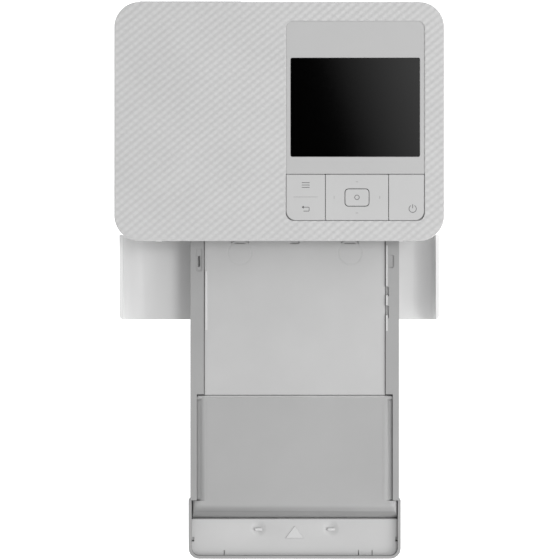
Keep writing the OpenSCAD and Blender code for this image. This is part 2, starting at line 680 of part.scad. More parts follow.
// The lid's outer form, drawn in by t: a plate with rolled sides and a round nose over the grip's width
module lid_front(x0, x1, y1, t) translate([0, y1, 0]) rotate([90, 0, 0]) linear_extrude(lid_end + y1)
  round_rect(x0 + t, x1 - t, tray_z, cover_top - t, side_round - t);
module lid_form(t) intersection() {
  translate([grip_l, 0, 0]) rotate([90, 0, 90]) linear_extrude(grip_w) {
    translate([-lid_end + nose_r, nose_z]) circle(nose_r - t);
    translate([-lid_end + nose_r, tray_z]) square([lid_end, cover_top - t - tray_z]);
    translate([-lid_end + t, tray_z]) square([nose_r, nose_z - tray_z]);
  }
  union() {
    lid_front(lid_x0, lid_x1, lid_axis_yz[0] + (t > 0 ? cut : 0), t);
    lid_front(grip_l + grip_wall + fit_gap, grip_r - grip_wall - fit_gap, nose_y1 - t, t);
  }
}
module cassette_front_lid() color("silver") from_front() {
  difference() {
    lid_form(0);
    lid_form(lid_t);
    block([grip_l, -lid_end + lid_t, 0], [grip_r, 0, lid_low]);
    block([grip_l, -tray_out, 0], [grip_r, 0, nose_z]);
  }
  intersection() {
    rod_x(lid_x0, lid_x1, lid_axis_yz, lid_round);
    lid_front(lid_x0, lid_x1, 0, 0);
  }
  rod_x(lid_x0 - lid_pin_l, lid_x1 + lid_pin_l, lid_axis_yz, lid_pin_r);
}

pip_x = 20.6;
pip_y = -lid_end - 6.3;
pip_l = 4.6;
pip_w = 1.8;
arrow_w = 10.2;
arrow_d = 6.7;
arrow_y = -lid_end - 11.4;
catch_y = -lid_end - 12;
module cassette_front_plate() color("whitesmoke") from_front() {
  difference() {
    translate([0, 0, grip_plate_z - grip_plate_t]) linear_extrude(grip_plate_t)
      grip_plan(grip_wall, -lid_end - plate_gap);
    for (x = slit_xs)
      block([x - slit_w / 4, -tray_out, 0], [x + slit_w / 4, -tray_out + grip_wall + 2.9, tray_top]);
    for (x = [grip_l + grip_wall, grip_r - grip_wall])
      block([x - 1.3, catch_y - 1.3, 0], [x + 1.3, catch_y + 1.3, tray_top]);
  }
  // Two pips and a plain arrow
  for (s = [-1, 1]) translate([tray_x + s * pip_x, pip_y, 0])
    slab(-pip_l / 2, pip_l / 2, -pip_w / 2, pip_w / 2, grip_plate_z - fuse, grip_plate_z + 0.8, pip_w / 2 - 0.01);
  translate([tray_x, arrow_y, grip_plate_z - fuse]) linear_extrude(0.3 + fuse)
    polygon([[-arrow_w / 2, 0], [arrow_w / 2, 0], [0, arrow_d]]);
}

module lift_plate() color("darkgray") from_front() {
  block([tray_l + tray_wall + 1, lift_y0, tray_z + tray_wall + 0.6],
        [tray_r - tray_wall - 1, tray_in - 6, tray_z + tray_wall + 1.6]);
  rod_x(tray_l + 0.6, tray_r - 0.6, lift_axis_yz, lift_pin_r);
}
module lift_spring() color("silver") from_front() for (x = [tray_x - 20, tray_x + 20])
  translate([x - 4, 0, tray_z + tray_wall]) rotate([90, 0, 90]) linear_extrude(8)
    polygon([[-20, 0], [10, 0], [20, 0.3], [20, 0.5], [10, 0.25], [-20, 0.25]]);

// Chassis ------------------------------------------------------------------

ink_y0 = supply_yz[0] - ribbon_r - 1.2;
ink_y1 = takeup_yz[0] + ribbon_r + 1.2;
ink_z0 = supply_yz[1] - ribbon_r - 1.2;
ink_z1 = supply_yz[1] + ribbon_r + 0.4;
shaft_r = 2;
thin_shaft_r = 1.5;
hub_r = 2.5;
pickup_r = 8.5;
pickup_l = 40;
pickup_yz = [tray_in - 10, tray_z + 11.2 + pickup_r];
head_shaft_r = 1;
tie_z = floor_top + 2.8;
tie_bars = [
  [plate_y0 + 2, plate_top - 3.2, 6, 2], [supply_yz[0] - 11, tie_z, 6, 3], [takeup_yz[0] - 5, tie_z, 8, 3]
];

module side_plate(x) difference() {
  block([x, plate_y0, floor_top], [x + plate_t, plate_y1, plate_top]);
  for (hole = [[capstan_yz, shaft_r], [platen_yz, hub_r], [pinch_yz, thin_shaft_r], [pickup_yz, shaft_r]])
    rod_x(x - cut, x + plate_t + cut, hole[0], hole[1] + run_gap);
  rod_x(x - cut, x + plate_t + cut, head_axis_yz, head_shaft_r + 0.02);
}
module chassis_left() color("silver") from_front() difference() {
  side_plate(plate_l - plate_t);
  rod_x(plate_l - plate_t - cut, plate_l + cut, takeup_yz, hub_r + run_gap);
}
module chassis_right() color("silver") from_front() difference() {
  side_plate(plate_r);
  block([plate_r - cut, ink_y0 - 0.8, ink_z0 - 0.4], [plate_r + plate_t + cut, ink_y1 + 0.8, ink_z1 + 0.4]);
}
module chassis_ties() color("silver") from_front() for (bar = tie_bars)
  block([plate_l, bar[0], bar[1]], [plate_r, bar[0] + bar[2], bar[1] + bar[3]]);

bracket_y0 = plate_y0 + 3.5;
bracket_y1 = plate_y1 - 4.6;
bracket_z0 = 10;
post_r = 1.8;
post_places = [
  [bracket_y0 + 4, bracket_z0 + 4], [bracket_y1 - 2.4, bracket_z0 + 3],
  [supply_yz[0] - 9, plate_top - 4.4], [platen_yz[0] + 4, plate_top - 4]
];
module gear_bracket() color("silver") from_front() difference() {
  union() {
    block([bracket_x, bracket_y0, bracket_z0], [bracket_x + plate_t, bracket_y1, plate_top - 1]);
    for (p = post_places) rod_x(bracket_x + plate_t - fuse, plate_l - plate_t, p, post_r);
  }
  for (p = [pinion_yz, ribbon_pinion_yz]) rod_x(bracket_x - cut, bracket_x + plate_t + cut, p, 1 + run_gap);
}

// Rollers and gears --------------------------------------------------------

roll_x0 = plate_l + 8;
roll_x1 = plate_r - 8;
shaft_end = plate_r + plate_t + 1;

module roller(yz, r, shaft) {
  rod_x(roll_x0, roll_x1, yz, r);
  rod_x(gear_x, shaft_end, yz, shaft);
}
module capstan_roller() color("silver") from_front() roller(capstan_yz, capstan_r, shaft_r);
module platen_roller() color("dimgray") from_front() roller(platen_yz, platen_r, hub_r);
module pinch_roller() color("dimgray") from_front() {
  rod_x(roll_x0, roll_x1, pinch_yz, pinch_r);
  rod_x(plate_l - plate_t - 0.5, shaft_end, pinch_yz, thin_shaft_r);
}
module capstan_gear() color("ivory") from_front()
  gear(capstan_n, capstan_yz, gear_x, gear_w, 0, shaft_r + 0.02);
module platen_gear() color("ivory") from_front()
  gear(platen_n, platen_yz, gear_x, gear_w, platen_turn, hub_r + 0.02);
module idler_gear() color("ivory") from_front()
  gear(idler_n, idler_yz, gear_x, gear_w, idler_turn, thin_shaft_r + run_gap);
module idler_axle() color("silver") from_front()
  rod_x(bracket_x + plate_t, plate_l - plate_t, idler_yz, thin_shaft_r);

module motor(yz, r, length) {
  rod_x(bracket_x - length, bracket_x, yz, r);
  rod_x(bracket_x - length - 1, bracket_x - length + fuse, yz, r / 3);
}
module pinion(yz, turn) {
  gear(pinion_n, yz, gear_x, gear_w, turn, 1);
  rod_x(bracket_x, gear_x + gear_w, yz, 1);
}
module feed_motor() color("dimgray") from_front() motor(pinion_yz, feed_motor_r, motor_l);
module feed_pinion() color("goldenrod") from_front() pinion(pinion_yz, pinion_turn);
module ribbon_motor() color("dimgray") from_front() motor(ribbon_pinion_yz, ribbon_motor_r, motor_l);
module ribbon_pinion() color("goldenrod") from_front()
  pinion(ribbon_pinion_yz, mesh_turn(0, idler_n, -90, pinion_n));

module pickup_roller() color("dimgray") from_front() difference() {
  rod_x(tray_x - pickup_l / 2, tray_x + pickup_l / 2, pickup_yz, pickup_r);
  rod_x(tray_x - pickup_l / 2 - cut, tray_x + pickup_l / 2 + cut, pickup_yz, shaft_r + 0.02);
}
module pickup_shaft() color("silver") from_front()
  rod_x(plate_l - plate_t - 0.5, shaft_end, pickup_yz, shaft_r);

// Ink cassette -------------------------------------------------------------

ink_x0 = plate_l + 7;
ink_x1 = plate_r - 9;
ink_end = half_w - wall - 3;
spool_pin_r = 3;

module tub(yz, r, side) difference() {
  translate(yz) circle(r);
  translate(yz) circle(r - 1);
  translate([yz[0] + (side > 0 ? 0 : -20), yz[1] - 20]) square([20, 16]);
  translate([yz[0] - 20, ink_z1]) square([40, 20]);
}
module ink_cassette_case() color("gray") from_front() difference() {
  union() {
    translate([ink_x0, 0, 0]) rotate([90, 0, 90]) linear_extrude(ink_x1 - ink_x0) {
      tub(supply_yz, ribbon_r + 1.2, 1);
      tub(takeup_yz, ribbon_r + 1.2, -1);
    }
    for (x = [ink_x0 - 1.5, ink_x1]) block([x, ink_y0, ink_z0], [x + 1.5, ink_y1, ink_z1]);
    block([ink_x1, ink_y0 + 2, supply_yz[1] + 2], [ink_end, ink_y1 - 2, supply_yz[1] + 4]);
    block([ink_end - 2, ink_y0 + 2, ink_z0 + 2], [ink_end, ink_y1 - 2, ink_z1 - 1]);
  }
  for (yz = [supply_yz, takeup_yz]) rod_x(ink_x0 - 3, ink_x1 + 3, yz, spool_pin_r + run_gap);
}
module spool(yz, r) {
  rod_x(ink_x0 + 1, ink_x1 - 1, yz, r);
  rod_x(ink_x0 - 4, ink_x1 + 2.4, yz, spool_pin_r);
}
module supply_spool() color("saddlebrown") from_front() spool(supply_yz, ribbon_r);
module takeup_spool() color("slategray") from_front() spool(takeup_yz, takeup_r);
module ribbon_film() color("darkgoldenrod") from_front() {
  low = path_z + 0.35;
  line = [
    [supply_yz[0] + 1.5, supply_yz[1] - ribbon_r - 0.5], [platen_yz[0] - 7, low],
    [platen_yz[0] + 7, low], [takeup_yz[0] - 2, takeup_yz[1] - takeup_r - 0.5]
  ];
  thick = 0.15;
  translate([ink_x0, 0, 0]) rotate([90, 0, 90]) linear_extrude(ink_x1 - ink_x0)
    polygon([for (p = line) p, for (i = [3 : -1 : 0]) line[i] + [0, thick]]);
}
module ribbon_drive_gear() color("ivory") from_front() {
  gear(idler_n, takeup_yz, gear_x, gear_w, 0, 1);
  rod_x(gear_x, ink_x0 - 4.2, takeup_yz, hub_r);
}

// Print head ---------------------------------------------------------------

head_x0 = ink_x0 + 3;
head_x1 = ink_x1 - 3;
arm_z = plate_top - 3.2;
head_d = 8;
head_h = 8.1;
head_low = path_z + 0.9;
sink_z = head_low + head_h;
sink_d = 12;
sink_t = 3;
fin_t = 1.4;
fin_n = 5;
module thermal_head() color("darkslategray") from_front()
  block([head_x0, platen_yz[0] - head_d / 2, head_low], [head_x1, platen_yz[0] + head_d / 2, sink_z]);
module heat_sink() color("silver") from_front() {
  block([head_x0, platen_yz[0] - sink_d / 2, sink_z], [head_x1, platen_yz[0] + sink_d / 2, sink_z + sink_t]);
  for (i = [0 : fin_n - 1]) {
    y = platen_yz[0] - sink_d / 2 + i * (sink_d - fin_t) / (fin_n - 1);
    block([head_x0, y, sink_z + sink_t - fuse], [head_x1, y + fin_t, arm_z]);
  }
}
module head_arm() color("gainsboro") from_front() difference() {
  union() {
    block([head_x0, platen_yz[0] - 7, arm_z], [head_x1, head_axis_yz[0], arm_z + 1]);
    rod_x(head_x0, head_x1, head_axis_yz, head_shaft_r + 0.8);
  }
  rod_x(head_x0 - cut, head_x1 + cut, head_axis_yz, head_shaft_r + run_gap);
}
module head_shaft() color("silver") from_front()
  rod_x(plate_l - plate_t, plate_r + plate_t, head_axis_yz, head_shaft_r);

// Fan and electronics ------------------------------------------------------

fan_mid = [fan_x0 + fan_size / 2, body_d - wall - fan_t, fan_z0 + fan_size / 2];
module rod_y(y0, y1, r) translate([0, y0, 0]) rotate([-90, 0, 0]) cylinder(h = y1 - y0, r = r);
module fan_frame() color("dimgray") from_front() translate(fan_mid) {
  difference() {
    block([-fan_size / 2, 0, -fan_size / 2], [fan_size / 2, fan_t, fan_size / 2]);
    rod_y(-cut, fan_t + cut, fan_size / 2 - 1);
  }
  rod_y(0, 1, 6);
  for (a = [30 : 120 : 270]) rotate([0, a, 0]) block([0, 0, -0.8], [fan_size / 2 - 0.5, 1, 0.8]);
  rod_y(0, fan_t - 2.5, 1);
}
module fan_rotor() color("black") from_front() translate(fan_mid) difference() {
  union() {
    rod_y(1.4, fan_t - 1.4, 6);
    intersection() {
      for (i = [0 : 6]) rotate([0, i * 360 / 7, 0]) translate([4, fan_t / 2, 0]) rotate([38, 0, 0])
        translate([0, -4, -0.5]) cube([fan_size / 2, 8, 1]);
      rod_y(1.6, fan_t - 1.6, fan_size / 2 - 1.6);
    }
  }
  rod_y(0, fan_t - 2.2, 1 + run_gap);
}
module main_board() color("darkgreen") from_front() {
  block([board_x0, board_y0, board_z], [board_x1, board_y1, board_z + pcb_t]);
  top = board_z + pcb_t - fuse;
  // Chips, each at a place on the board with its width, depth and height
  for (chip = [[9.9, 39, 12, 12, 1.6], [3.9, 55, 10, 6, 1.4], [15.9, 7, 8, 10, 1.4]])
    translate([board_x0 + chip[0], board_y0 + chip[1], top]) cube([chip[2], chip[3], chip[4]]);
}
module usb_socket() color("silver") from_front() difference() {
  block([-half_w + wall, usb_y - usb_w / 2, port_z - 1.6], [-half_w + wall + 7.4, usb_y + usb_w / 2, port_z + 1.6]);
  block([-half_w + wall - cut, usb_y - usb_w / 2 + 0.4, port_z - 1.2],
        [-half_w + wall + 6.4, usb_y + usb_w / 2 - 0.4, port_z + 1.2]);
}
jack_z = board_z + pcb_t + jack_r + 0.6;
module power_jack() color("black") from_front() difference() {
  block([jack_x - 4.5, board_y1 - 1.2, jack_z - jack_r - 0.6], [jack_x + 4.5, body_d - wall, jack_z + jack_r + 0.6]);
  translate([jack_x, body_d, jack_z]) rotate([90, 0, 0]) cylinder(h = wall + 9.5, r = jack_r);
}
module card_board() color("darkgreen") from_front()
  block([card_x0 - 0.6, card_y - card_w / 2 - 1.5, card_z - card_h - pcb_t],
        [half_w - wall - 0.2, card_y + card_w / 2 + 1.5, card_z - card_h]);
module card_socket() color("silver") from_front() difference() {
  block([card_x0, card_y - card_w / 2 - 0.8, card_z - card_h], [half_w - wall, card_y + card_w / 2 + 0.8, card_z + 0.8]);
  block([card_x0 + 1, card_y - card_w / 2, card_z - card_h + 0.3], [half_w, card_y + card_w / 2, card_z]);
}

bottom_case();
feet();
case_screws();
side_shell();
top_cover();
display_bezel();
screen_lens();
lcd_module();
key_board();
menu_key();
nav_pivot();
nav_key();
ok_key();
power_key();
front_cover();
front_cover_pins();
ink_door();
ink_door_pins();
cassette_tray();
cassette_rear_cover();
cassette_front_lid();
cassette_front_plate();
lift_plate();
lift_spring();
chassis_left();
chassis_right();
chassis_ties();
gear_bracket();
capstan_roller();
capstan_gear();
pinch_roller();
platen_roller();
platen_gear();
idler_gear();
idler_axle();
feed_motor();
feed_pinion();
pickup_roller();
pickup_shaft();
ink_cassette_case();
supply_spool();
takeup_spool();
ribbon_film();
ribbon_drive_gear();
ribbon_motor();
ribbon_pinion();
thermal_head();
heat_sink();
head_arm();
head_shaft();
fan_frame();
fan_rotor();
main_board();
usb_socket();
power_jack();
card_board();
card_socket();
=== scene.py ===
"""Looks of a compact photo printer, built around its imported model. Lengths are in metres."""

import json
import math

import bmesh
import bpy
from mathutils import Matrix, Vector


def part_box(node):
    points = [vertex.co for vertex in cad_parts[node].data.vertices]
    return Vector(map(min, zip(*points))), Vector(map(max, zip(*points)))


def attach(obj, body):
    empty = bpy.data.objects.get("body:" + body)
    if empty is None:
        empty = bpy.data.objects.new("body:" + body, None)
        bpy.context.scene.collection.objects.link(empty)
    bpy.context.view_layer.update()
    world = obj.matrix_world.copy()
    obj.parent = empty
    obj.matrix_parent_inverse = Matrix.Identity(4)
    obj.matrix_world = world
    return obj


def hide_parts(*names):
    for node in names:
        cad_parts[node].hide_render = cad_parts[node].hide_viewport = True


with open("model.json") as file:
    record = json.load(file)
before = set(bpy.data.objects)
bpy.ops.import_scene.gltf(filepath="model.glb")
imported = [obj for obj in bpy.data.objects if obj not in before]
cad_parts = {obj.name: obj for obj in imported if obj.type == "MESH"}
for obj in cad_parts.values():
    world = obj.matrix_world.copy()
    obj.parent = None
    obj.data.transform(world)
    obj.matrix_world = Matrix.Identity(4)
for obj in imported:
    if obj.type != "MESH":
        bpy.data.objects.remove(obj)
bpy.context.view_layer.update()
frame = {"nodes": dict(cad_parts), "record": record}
MM = 0.001

# Places on the object ---------------------------------------------------------

COVER_LOW, COVER_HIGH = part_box("top_cover")
BEZEL_LOW, BEZEL_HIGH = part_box("display_bezel")
MENU_LOW, MENU_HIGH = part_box("menu_key")
NAV_LOW, NAV_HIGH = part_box("nav_key")
OK_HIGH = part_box("ok_key")[1]
POWER_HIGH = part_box("power_key")[1]
PLATE_LOW, PLATE_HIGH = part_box("cassette_front_plate")
LID_LOW, LID_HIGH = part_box("cassette_front_lid")
SHEET_LOW, SHEET_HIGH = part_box("cassette_rear_cover")
TRAY_LOW, TRAY_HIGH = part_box("cassette_tray")
TRAY_X = (TRAY_LOW[0] + TRAY_HIGH[0]) / 2
FRONT_Y = COVER_LOW[1]
SLOTS = {part["node"]: part["material_slot"] for part in frame["record"]["subparts"]}


# Materials --------------------------------------------------------------------

def node_at(tree, kind, x, y, **values):
    """Adds a shader node and sets its input sockets by name."""
    node = tree.nodes.new(kind)
    node.location = (x, y)
    for name, value in values.items():
        node.inputs[name.replace("_", " ")].default_value = value
    return node


def grey(value):
    return (value, value, value, 1)


# Painted shade by facing: how far a face is turned away where the painted shade starts, is part of the way,
# in full and at its end
TURN_START, TURN_PART, TURN_FULL, TURN_END = 0.03, 0.16, 0.45, 0.98
# Share of its colour that a face keeps under the painted shade where it faces straight to the front
NOSE_END_SHADE = 0.8
CLOUD_SCALE = 30
GRAIN_DEPTH = 0.1 * MM
USUAL_EDGE = 0.25 * MM
SCATTER_R = 2 * MM
LEAST_ROUGHNESS = 0.02


def painted_turn_shade(tree, coords, ramp, share, end_share, axis):
    """Paints shade into the colour of the faces of a moulding that are turned away: its front end (Y) or
    all its sides (Z).
    """
    parts = node_at(tree, "ShaderNodeSeparateXYZ", -400, 480)
    tree.links.new(coords.outputs["Normal"], parts.inputs["Vector"])
    turn = node_at(tree, "ShaderNodeMath", -200, 480)
    turn.operation = "MULTIPLY_ADD"
    turn.inputs[1].default_value = -1
    turn.inputs[2].default_value = 1 if axis == "Z" else 0
    tree.links.new(parts.outputs[axis], turn.inputs[0])
    level = node_at(tree, "ShaderNodeValToRGB", 0, 480)
    elements = level.color_ramp.elements
    elements[0].position, elements[0].color = TURN_START, grey(1)
    elements[1].position, elements[1].color = TURN_END, grey(end_share)
    elements.new(TURN_PART).color = grey((1 + 2 * share) / 3)
    elements.new(TURN_FULL).color = grey(share)
    tree.links.new(turn.outputs["Value"], level.inputs["Fac"])
    scale = node_at(tree, "ShaderNodeVectorMath", 200, 400)
    scale.operation = "MULTIPLY"
    tree.links.new(ramp.outputs["Color"], scale.inputs[0])
    tree.links.new(level.outputs["Color"], scale.inputs[1])
    return scale.outputs["Vector"]


def finish_material(name, dark, light, roughness, grain, bump, **extra):
    """A moulded or machined finish: two close tones, uneven gloss, fine grain and worn-soft edges, and
    where asked painted shade on turned faces.
    """
    mat = bpy.data.materials.new(name)
    mat.use_nodes = True
    tree = mat.node_tree
    tree.nodes.clear()
    out = node_at(tree, "ShaderNodeOutputMaterial", 900, 0)
    shader = node_at(tree, "ShaderNodeBsdfPrincipled", 650, 0, Metallic=extra.get("metallic", 0),
                     Specular_IOR_Level=0.5, Coat_Weight=extra.get("coat", 0),
                     Coat_Roughness=extra.get("coat_roughness", 0.1),
                     Subsurface_Weight=extra.get("subsurface", 0),
                     Subsurface_Radius=(SCATTER_R, SCATTER_R, SCATTER_R), Subsurface_Scale=1)
    tree.links.new(shader.outputs["BSDF"], out.inputs["Surface"])

    coords = node_at(tree, "ShaderNodeTexCoord", -900, 0)
    mapping = node_at(tree, "ShaderNodeMapping", -720, 0, Scale=extra.get("stretch", (1, 1, 1)))
    tree.links.new(coords.outputs["Object"], mapping.inputs["Vector"])
    cloud = node_at(tree, "ShaderNodeTexNoise", -500, 220, Scale=CLOUD_SCALE, Detail=4)
    fine = node_at(tree, "ShaderNodeTexNoise", -500, -120, Scale=grain, Detail=3)
    for noise in (cloud, fine):
        tree.links.new(mapping.outputs["Vector"], noise.inputs["Vector"])

    ramp = node_at(tree, "ShaderNodeValToRGB", -200, 220)
    elements = ramp.color_ramp.elements
    elements[0].position, elements[0].color = 0.3, dark
    elements[1].position, elements[1].color = 0.7, light
    tree.links.new(cloud.outputs["Fac"], ramp.inputs["Fac"])
    # Where asked, painted shade darkens the faces turned towards the front or away from the top
    if "nose" in extra:
        tone = painted_turn_shade(tree, coords, ramp, extra["nose"], NOSE_END_SHADE, "Y")
    elif "walls" in extra:
        tone = painted_turn_shade(tree, coords, ramp, extra["walls"], extra["walls"], "Z")
    else:
        tone = ramp.outputs["Color"]
    tree.links.new(tone, shader.inputs["Base Color"])

    spread = extra.get("gloss_spread", 0.05)
    gloss = node_at(tree, "ShaderNodeMapRange", -200, -20, To_Min=max(roughness - spread, LEAST_ROUGHNESS),
                    To_Max=min(roughness + spread, 1))
    tree.links.new(fine.outputs["Fac"], gloss.inputs["Value"])
    tree.links.new(gloss.outputs["Result"], shader.inputs["Roughness"])

    relief = node_at(tree, "ShaderNodeBump", 200, -260, Strength=bump, Distance=GRAIN_DEPTH)
    tree.links.new(fine.outputs["Fac"], relief.inputs["Height"])
    edge = node_at(tree, "ShaderNodeBevel", -200, -360, Radius=extra.get("edge", USUAL_EDGE))
    edge.samples = 4
    tree.links.new(edge.outputs["Normal"], relief.inputs["Normal"])
    tree.links.new(relief.outputs["Normal"], shader.inputs["Normal"])
    return mat


# Name: dark tone, light tone, roughness, grain, bump and what else differs from the usual
FINISHES = {
    "shell": (grey(0.50), grey(0.53), 0.55, 2600, 0.10, {}),
    "cover": (grey(0.505), grey(0.53), 0.5, 3000, 0.06, {"edge": 0.2 * MM}),
    "panel": (grey(0.48), grey(0.495), 0.42, 3000, 0.05, {"edge": 0.3 * MM}),
    "bezel": (grey(0.44), grey(0.455), 0.42, 3000, 0.05, {"edge": 0.3 * MM}),
    # Lighter copy of the shell's plastic for the folded front cover: painted light
    "flap_painted_light": (grey(0.73), grey(0.76), 0.45, 2400, 0.07, {}),
    "front_plate": (grey(0.49), grey(0.515), 0.5, 2400, 0.08, {}),
    "screen": (grey(0.0003), grey(0.0004), 0.05, 500, 0.002, {"gloss_spread": 0.01, "edge": 0.2 * MM}),
    # The tray's sides carry painted shade
    "tray": (grey(0.31), grey(0.335), 0.46, 1800, 0.09, {"walls": 0.62}),
    "tray_cover": (grey(0.455), grey(0.485), 0.36, 1500, 0.08,
                   {"coat": 0.1, "coat_roughness": 0.3, "edge": 0.7 * MM}),
    # The lid's front end carries painted shade
    "tray_lid": (grey(0.372), grey(0.392), 0.5, 1500, 0.06, {"nose": 0.67, "subsurface": 0.25}),
    # Darker copy of the lid's plastic for its left shoulder: painted shade
    "lid_painted_shade": (grey(0.35), grey(0.37), 0.5, 1500, 0.06, {"subsurface": 0.25}),
    "grey_plastic": (grey(0.10), grey(0.125), 0.48, 1600, 0.14, {}),
    "black_plastic": (grey(0.012), grey(0.018), 0.45, 1600, 0.15, {}),
    "rubber": (grey(0.02), grey(0.032), 0.75, 1400, 0.25, {}),
    "steel": (grey(0.50), grey(0.60), 0.32, 900, 0.10,
              {"metallic": 1, "stretch": (0.08, 1, 1), "gloss_spread": 0.09}),
    "dark_metal": (grey(0.05), grey(0.075), 0.4, 1200, 0.1, {"metallic": 0.4}),
    "alloy": (grey(0.62), grey(0.70), 0.34, 1200, 0.08, {"metallic": 1, "stretch": (0.1, 1, 1)}),
    "brass": ((0.52, 0.35, 0.13, 1), (0.62, 0.44, 0.18, 1), 0.3, 900, 0.06, {"metallic": 1}),
    "gear": ((0.58, 0.55, 0.46, 1), (0.64, 0.61, 0.52, 1), 0.4, 1400, 0.06, {"subsurface": 0.1}),
    "ribbon": ((0.028, 0.014, 0.006, 1), (0.045, 0.024, 0.01, 1), 0.18, 700, 0.03, {"coat": 0.4}),
    "board": ((0.008, 0.05, 0.02, 1), (0.014, 0.075, 0.03, 1), 0.35, 1400, 0.1, {"coat": 0.3}),
    "print_grey": (grey(0.085), grey(0.11), 0.5, 1500, 0.02, {}),
    # Light tone, not print: painted light on fills and edges of the cassette
    "painted_light_tone": (grey(0.56), grey(0.6), 0.5, 1500, 0.03, {}),
    "print_plain": (grey(0.55), grey(0.565), 0.5, 1500, 0.02, {}),
    "print_faint": (grey(0.36), grey(0.39), 0.5, 1500, 0.02, {}),
}
MATERIALS = {name: finish_material(name, *look[:5], **look[5]) for name, look in FINISHES.items()}
# Nodes whose finish has its own tone here, though they share a slot; the front cover's lighter tone is
# painted light
TONED = {
    "front_cover": "flap_painted_light", "display_bezel": "bezel", "menu_key": "panel", "nav_key": "panel",
    "ok_key": "panel", "power_key": "panel", "cassette_front_plate": "front_plate",
}


# Edges of the carried-over solids ---------------------------------------------

WELD_GAP = 0.002 * MM
FLAT_ANGLE = math.radians(0.5)
EDGE_ANGLE = math.radians(50)
# Width of the rounded edges, in millimetres
BEVELS = {
    "side_shell": 0.35, "bottom_case": 0.35, "front_cover": 0.45, "ink_door": 0.3,
    "cassette_tray": 0.35, "cassette_rear_cover": 0.25, "cassette_front_lid": 0.25,
    "cassette_front_plate": 0.25, "display_bezel": 0.22, "menu_key": 0.3, "nav_key": 0.3,
    "ok_key": 0.3, "power_key": 0.3, "screen_lens": 0.12, "feet": 0.5, "ink_cassette_case": 0.25,
    "heat_sink": 0.15, "thermal_head": 0.2, "fan_frame": 0.3, "power_jack": 0.25, "usb_socket": 0.12,
    "card_socket": 0.12, "feed_motor": 0.5, "ribbon_motor": 0.5, "pickup_roller": 0.4,
    "platen_roller": 0.3, "capstan_roller": 0.2, "lift_plate": 0.2, "head_arm": 0.15,
}


def soften(obj, width_mm):
    """Rounds the sharp edges of a carried-over solid with modifiers, which leave its own mesh alone."""
    weld = obj.modifiers.new("weld", "WELD")
    weld.merge_threshold = WELD_GAP
    flat = obj.modifiers.new("flat", "DECIMATE")
    flat.decimate_type = "DISSOLVE"
    flat.angle_limit = FLAT_ANGLE
    bevel = obj.modifiers.new("bevel", "BEVEL")
    bevel.width = width_mm * MM
    bevel.segments = 3
    bevel.limit_method = "ANGLE"
    bevel.angle_limit = EDGE_ANGLE
    bevel.use_clamp_overlap = True
    bevel.harden_normals = True


for node_name, solid in frame["nodes"].items():
    solid.data.materials.clear()
    solid.data.materials.append(MATERIALS[TONED.get(node_name, SLOTS[node_name])])
    if node_name in BEVELS:
        soften(solid, BEVELS[node_name])


# Mesh helpers -----------------------------------------------------------------

def add_mesh(name, verts, faces, material, smooth=False):
    mesh = bpy.data.meshes.new(name)
    mesh.from_pydata(verts, [], faces)
    mesh.validate()
    obj = bpy.data.objects.new(name, mesh)
    bpy.context.scene.collection.objects.link(obj)
    mesh.materials.append(MATERIALS[material])
    for face in mesh.polygons:
        face.use_smooth = smooth
    return obj


def bands(first, count, steps):
    """Quads between rings of count points each, which follow each other from the point first."""
    faces = []
    for low in range(first, first + steps * count, count):
        for i in range(count):
            j = (i + 1) % count
            faces.append((low + i, low + j, low + count + j, low + count + i))
    return faces


def stack(name, levels, material, smooth=False):
    """A closed body through plan outlines at rising heights, all with the same number of points."""
    verts = [(x, y, z) for outline, z in levels for x, y in outline]
    count = len(levels[0][0])
    last = len(verts) - count
    faces = bands(0, count, len(levels) - 1)
    faces += [tuple(range(count - 1, -1, -1)), tuple(last + i for i in range(count))]
    return add_mesh(name, verts, faces, material, smooth)


def prism(name, outline, z0, z1, material):
    """A closed prism over a plan outline, which runs counter-clockwise."""
    return stack(name, [(outline, z0), (outline, z1)], material)


def arc(cx, cy, r, a0, a1, steps):
    """Points along an arc, angles in degrees."""
    points = []
    for i in range(steps + 1):
        a = math.radians(a0 + (a1 - a0) * i / steps)
        points.append((cx + r * math.cos(a), cy + r * math.sin(a)))
    return points


def rounded(x0, x1, y0, y1, r, steps=10):
    return (arc(x1 - r, y0 + r, r, -90, 0, steps) + arc(x1 - r, y1 - r, r, 0, 90, steps)
            + arc(x0 + r, y1 - r, r, 90, 180, steps) + arc(x0 + r, y0 + r, r, 180, 270, steps))


def stroke(points, width):
    """A flat band of the given width along a line of points, as one outline."""
    left, right = [], []
    for i, (x, y) in enumerate(points):
        ax, ay = points[max(i - 1, 0)]
        bx, by = points[min(i + 1, len(points) - 1)]
        length = math.hypot(bx - ax, by - ay)
        nx, ny = -(by - ay) / length * width / 2, (bx - ax) / length * width / 2
        left.append((x + nx, y + ny))
        right.append((x - nx, y - ny))
    return right + left[::-1]


def ring(cx, cy, r, width, a0=0, a1=360, steps=40):
    return stroke(arc(cx, cy, r, a0, a1, steps), width)


def bar(cx, cy, length, width):
    r = min(length, width) * 0.45
    return rounded(cx - length / 2, cx + length / 2, cy - width / 2, cy + width / 2, r, 4)


def placed(cx, cy, points):
    """Points in millimetres from a centre, as places on the object."""
    return [(cx + x * MM, cy + y * MM) for x, y in points]


def fillet_rings(inset_r, top, steps):
    """Insets and heights of the rings that round an upper edge."""
    rings = []
    for k in range(steps + 1):
        a = math.pi / 2 * k / steps
        rings.append((inset_r * (1 - math.cos(a)), top - inset_r * (1 - math.sin(a))))
    return rings


def welded_copy(node, name):
    """A new piece with the mesh of a carried-over solid, whose doubled points are joined."""
    mesh = frame["nodes"][node].data.copy()
    work = bmesh.new()
    work.from_mesh(mesh)
    bmesh.ops.remove_doubles(work, verts=work.verts, dist=WELD_GAP)
    work.to_mesh(mesh)
    work.free()
    obj = bpy.data.objects.new(name, mesh)
    bpy.context.scene.collection.objects.link(obj)
    return obj


